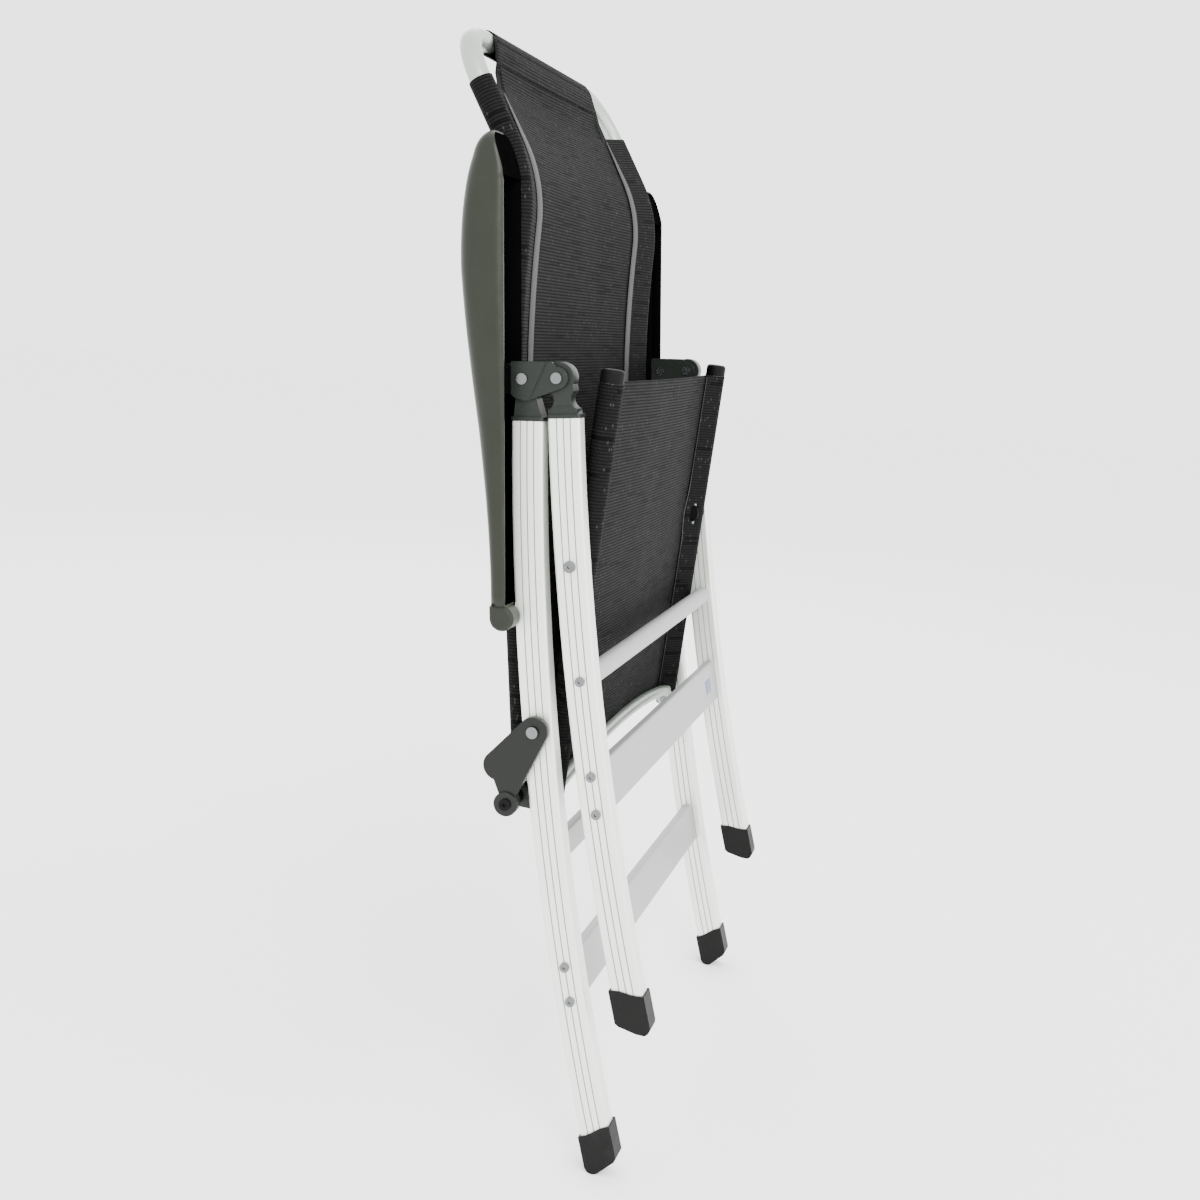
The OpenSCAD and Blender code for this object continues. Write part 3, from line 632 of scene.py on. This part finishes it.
def build_back(cloth, tape):
    section = sling_section(-BACK_OFF, BACK_SEAM_IN, BACK_SAG)
    seam_x = HALF_IN - BACK_SEAM_IN
    rows, uvs = [], []
    for i in range(BACK_STEPS + 1):
        row, uv = [], []
        for x, depth, run, in_panel in section:
            top = SLEEVE_TOP
            if in_panel:
                top = TOP_S + CUT_UP - math.sqrt(max(0, CUT_R ** 2 - (HALF_IN - abs(x)) ** 2))
                top = min(top, TOP_S)
            s = BACK_EDGE + (top - BACK_EDGE) * (i / BACK_STEPS)
            if in_panel:
                depth = to_bar(depth + ripple(x, s, BACK_SEED) * dome(x, seam_x), s, -CLOTH_R)
            row.append(back_point(x, depth, s))
            uv.append((run, s))
        rows.append(row)
        uvs.append(uv)
    mesh = grid_mesh("back_sling", rows, uvs)
    back = thicken(finish_piece("back_sling", mesh, "backrest", cloth), CLOTH_T)
    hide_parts("back_fabric", "head_fabric")
    trims = [build_back_tape(side, name, tape) for side, name in SIDES] + [build_hem(cloth)]


def build_back_tape(side, name, tape):
    """The tape over a seam of the backrest, tapering at both ends."""
    middle = HALF_IN - BACK_SEAM_IN
    rows = []
    for k in range(TAPE_STEPS + 1):
        s = BACK_EDGE + TAPE_FROM + (SLEEVE_TOP - BACK_EDGE - TAPE_SHORT) * k / TAPE_STEPS
        half = TAPE_W / 2 * smoothstep((s - TAPE_WIDENS) / TAPE_WIDENS_LEN)
        half = half * smoothstep((SLEEVE_TOP + TAPE_ENDS - s) / TAPE_ENDS_LEN) + TAPE_LEAST
        depth = to_bar(-BACK_OFF - TAPE_OVER, s, -CLOTH_R - TAPE_OVER_BAR)
        rows.append([back_point(side * (middle + dx - TAPE_W / 2), depth + (half - dx) * TAPE_SLOPE, s)
                     for dx in (-half, 0, half)])
    mesh = grid_mesh("back_tape", rows)
    return thicken(finish_piece(f"back_tape_{name}", mesh, "backrest", tape), TAPE_T)


def build_hem(cloth):
    """The hem over the top bar, sewn to the panel behind it."""
    reach = HALF_IN - CORNER_R - HEM_IN
    turns = [math.radians(HEM_TURN * k / HEM_STEPS) for k in range(HEM_STEPS + 1)]
    shape = [(-CLOTH_R - HEM_OUT, -HEM_LOW)]
    shape += [(-math.cos(turn) * CLOTH_R, math.sin(turn) * CLOTH_R) for turn in turns]
    shape += HEM_BACK
    rows, uvs = [], []
    for i in range(HEM_COLUMNS + 1):
        x = -reach + 2 * reach * i / HEM_COLUMNS
        row, uv, run = [], [], 0.0
        for k, (depth, s) in enumerate(shape):
            if k:
                run += math.hypot(depth - shape[k - 1][0], s - shape[k - 1][1])
            row.append(back_point(x, depth, TOP_S + s))
            uv.append((x, run))
        rows.append(row)
        uvs.append(uv)
    mesh = grid_mesh("top_hem", rows, uvs)
    return thicken(finish_piece("top_hem", mesh, "backrest", cloth), CLOTH_T)


# ---- armrests ----
def arm_spot(side, x, y, z):
    """A point of an armrest: x inboard of the legs' outer face, y and z from the leg hinge."""
    return place(side * (HALF_W - x), y, z)


def bezier(a, b, c, d, steps):
    for k in range(steps):
        t = k / steps
        yield tuple((1 - t) ** 3 * a[i] + 3 * (1 - t) ** 2 * t * b[i]
                    + 3 * (1 - t) * t * t * c[i] + t ** 3 * d[i] for i in (0, 1))


def arm_lines():
    """Matching points, as (y, z), up the back of an armrest and up its open underside."""
    back = [point for controls, steps in ARM_CURVES for point in bezier(*controls, steps)]
    back.append(ARM_TIP)
    under = []
    for _, z in back:
        t = (z - FACET_Z) / FACET_LEN
        if t < 0:
            under.append((ARM_UNDER, z))
        else:
            under.append((ARM_UNDER + FACET_BACK * t, FACET_Z + FACET_UP * t ** FACET_CURVE))
    return back, under


def arm_section(thick, z):
    """Its section at height z, from the inner edge over the back to the outer: (x, out of the underside)."""
    past = max(0.0, z - ARM_TIP[1] + TIP_R)
    tuck = TIP_R - math.sqrt(max(0.0, TIP_R ** 2 - past ** 2))
    outer, inner = -ARM_OUT + TIP_TUCK * tuck, ARM_IN - TIP_TUCK * tuck
    big, small = min(CROWN, thick * 0.55), min(ARM_EDGE, thick * 0.4)
    spacing = 1 if thick > THIN else 0.5
    line = [(inner, min(thick * t * spacing, thick - small)) for t in SIDE_POINTS]
    line += [(inner - small * (1 - math.cos(q)), thick - small * (1 - math.sin(q)))
             for q in (math.pi / 2 * k / 5 for k in range(6))]
    flat_from, flat_to = inner - small, outer + big
    line += [(flat_from + (flat_to - flat_from) * t, thick) for t in (0.25, 0.5, 0.75)]
    line += [(outer + big * (1 - math.sin(q)), thick - big * (1 - math.cos(q)))
             for q in (math.pi / 2 * k / 8 for k in range(9))]
    line += [(outer, (thick - big) * t) for t in (0.66, 0.33, 0)]
    return line


def build_arm_shell(side, name, skin, shade_skin):
    """A moulded armrest's hollow shell, with painted shade: its inner side, the channel's closing faces and its
    inner wall are near-black.
    """
    back, under = arm_lines()
    rows = []
    for (y1, z1), (y0, z0) in zip(back, under):
        thick = max(LEAST_THICK, math.hypot(y1 - y0, z1 - z0))
        rows.append([arm_spot(side, x, y0 + (y1 - y0) * v / thick, z0 + (z1 - z0) * v / thick)
                     for x, v in arm_section(thick, z1)])
    width = len(rows[0])
    shell = finish_piece(f"armrest_shell_{name}", grid_mesh("armrest_shell", rows), f"armrest_{name}",
                         skin)
    shell.data.materials.append(shade_skin)
    for face in shell.data.polygons:
        if face.index % (width - 1) < INNER_FACES:
            face.material_index = 1
    closed = bmesh.new()
    closed.from_mesh(shell.data)
    closed.verts.ensure_lookup_table()
    # the lower end, then the channel towards the tip, closed in the painted shade
    closed.faces.new([closed.verts[k] for k in range(width)])
    for i, (_, z) in enumerate(back[:-1]):
        if z > CLOSED_Z:
            first, after = i * width, (i + 1) * width
            ring = (first, after, after + width - 1, after - 1)
            closed.faces.new([closed.verts[k] for k in ring]).material_index = 1
    bmesh.ops.recalc_face_normals(closed, faces=closed.faces)
    middle = arm_spot(side, *ARM_MIDDLE)
    if sum((f.calc_center_median() - middle).dot(f.normal) for f in closed.faces) < 0:
        bmesh.ops.reverse_faces(closed, faces=closed.faces)
    closed.to_mesh(shell.data)
    closed.free()
    wall = thicken(shell, ARM_WALL).modifiers["thickness"]
    wall.offset = -1
    # the shell's inner wall takes the painted shade as well
    wall.material_offset = 1
    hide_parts(f"armrest_{name}")


def build_arm_hook(side, name, skin):
    """The armrest's solid rear end round its pin, with a blind bore."""
    pin_y, pin_z = ARM_AT
    loop = [Vector((pin_y + ARM_END_R * math.cos(q), pin_z + ARM_END_R * math.sin(q)))
            for q in (2 * math.pi * k / HOOK_STEPS for k in range(HOOK_STEPS))]
    loop += [Vector((ARM_CURVES[0][0][0][0], HOOK_TOP)), Vector((ARM_UNDER, HOOK_TOP))]
    rows = []
    for k in geometry.convex_hull_2d(loop):
        away = Vector((loop[k].x - pin_y, loop[k].y - pin_z))
        unit, rim = away.normalized(), away.length
        # from the bore's floor over the inner face, the rim and the outer face: (x, distance from the pin)
        profile = [(BORE_FLOOR, BORE_LEAST), (BORE_FLOOR, ARM_BORE_R), (HOOK_FACE, ARM_BORE_R),
                   (HOOK_FACE, rim - HOOK_FACE_CUT), (HOOK_FACE_EDGE, rim)]
        profile += [(x, rim - cut) for x, cut in HOOK_CROWN]
        profile.append((-ARM_OUT, BORE_LEAST))
        rows.append([arm_spot(side, x, pin_y + unit.x * r, pin_z + unit.y * r) for x, r in profile])
    rows.append(rows[0])
    finish_piece(f"armrest_hook_{name}", grid_mesh("armrest_hook", rows), f"armrest_{name}",
                 skin, smooth=False)


def build_label(material):
    """A blank plate near one end of the wide front crossbar."""
    (cy, cz), bend = FRONT_LEG
    y0 = cy + math.sqrt(bend ** 2 - (cz - LABEL_Z) ** 2)
    slope = math.asin((cz - LABEL_Z) / bend)
    rows = []
    for v in (-LABEL_HALF, LABEL_HALF):
        y = y0 - LABEL_OUT * math.cos(slope) + v * math.sin(slope)
        z = LABEL_Z + LABEL_OUT * math.sin(slope) + v * math.cos(slope)
        rows.append([place(x, y, z) for x in LABEL_X])
    plate = finish_piece("blank_label", grid_mesh("blank_label", rows), "front_frame", material,
                         smooth=False)
    thicken(plate, LABEL_T)


make_camera()
make_floor()
make_lights()

# ---- materials ----
FRONT_METAL = leg_metal("front_leg_aluminium", *FRONT_LEG)
REAR_METAL = leg_metal("rear_leg_aluminium", *REAR_LEG)
TUBE = anodised("tube_aluminium", (0.36, 0.40, 0.36), 0.34)
BAR = coated("crossbar_grey", (0.30, 0.30, 0.305))
HINGE_PLASTIC = moulded("hinge_plastic", (0.0075, 0.0100, 0.0080), (0.024, 0.029, 0.024), 0.38)
BRACKET = moulded("bracket_plastic", (0.012, 0.014, 0.0125), (0.028, 0.030, 0.028), 0.42)
BOOT = moulded("boot_rubber", (0.0022, 0.0023, 0.0021), (0.009, 0.009, 0.009), 0.5, 500, 0.0005, 0.14)
BLACK = moulded("black_plastic", (0.0018, 0.0018, 0.0018), (0.006, 0.006, 0.006), 0.5, spec=0.08)
LINK = moulded("link_plastic", (0.0042, 0.0052, 0.0042), (0.014, 0.016, 0.014), 0.36)
# near-black and without reflection: painted shade for the armrest's inner side, underside and inner wall
ARM_SHADE = moulded("arm_painted_shade", (0.0012, 0.0012, 0.0012), (0.002, 0.002, 0.002), 0.7, spec=0.0)
ARM = moulded("arm_plastic", (0.0095, 0.0120, 0.0070), (0.022, 0.026, 0.018), 0.34, 900, 0.0002)
STEEL = plated("zinc_plate")
CLOTH = woven("mesh_cloth", (0.0012, 0.0012, 0.0013), (0.0075, 0.0075, 0.0078))
TAPE = thread_tape("seam_tape", (0.027, 0.026, 0.028))
LABEL = coated("label_plate", (0.13, 0.16, 0.27))

FINISH = {"anodised_leg": FRONT_METAL, "crossbar": BAR, "tube": TUBE, "hinge_plastic": HINGE_PLASTIC,
          "boot_rubber": BOOT, "steel": STEEL, "black_plastic": BLACK, "bracket": BRACKET,
          "mesh_fabric": CLOTH, "arm_plastic": ARM}
for part in frame["record"]["subparts"]:
    paint(part["node"], FINISH[part["material_slot"]])
for _, name in SIDES:
    paint(f"rear_leg_{name}", REAR_METAL)
    paint(f"link_plate_{name}", LINK)

# ---- pieces ----
build_seat(CLOTH, TAPE)
build_back(CLOTH, TAPE)
for side, name in SIDES:
    build_arm_shell(side, name, ARM, ARM_SHADE)
    build_arm_hook(side, name, ARM)
build_label(LABEL)

for node, width in (("front_hinge", 0.0008), ("rear_hinge", 0.0008), ("link_plate", 0.0012),
                    ("front_boot", 0.0014), ("rear_boot", 0.0014),
                    ("slide_shoe", 0.0006), ("seat_bracket", 0.0008)):
    for _, name in SIDES:
        soften(f"{node}_{name}", width)
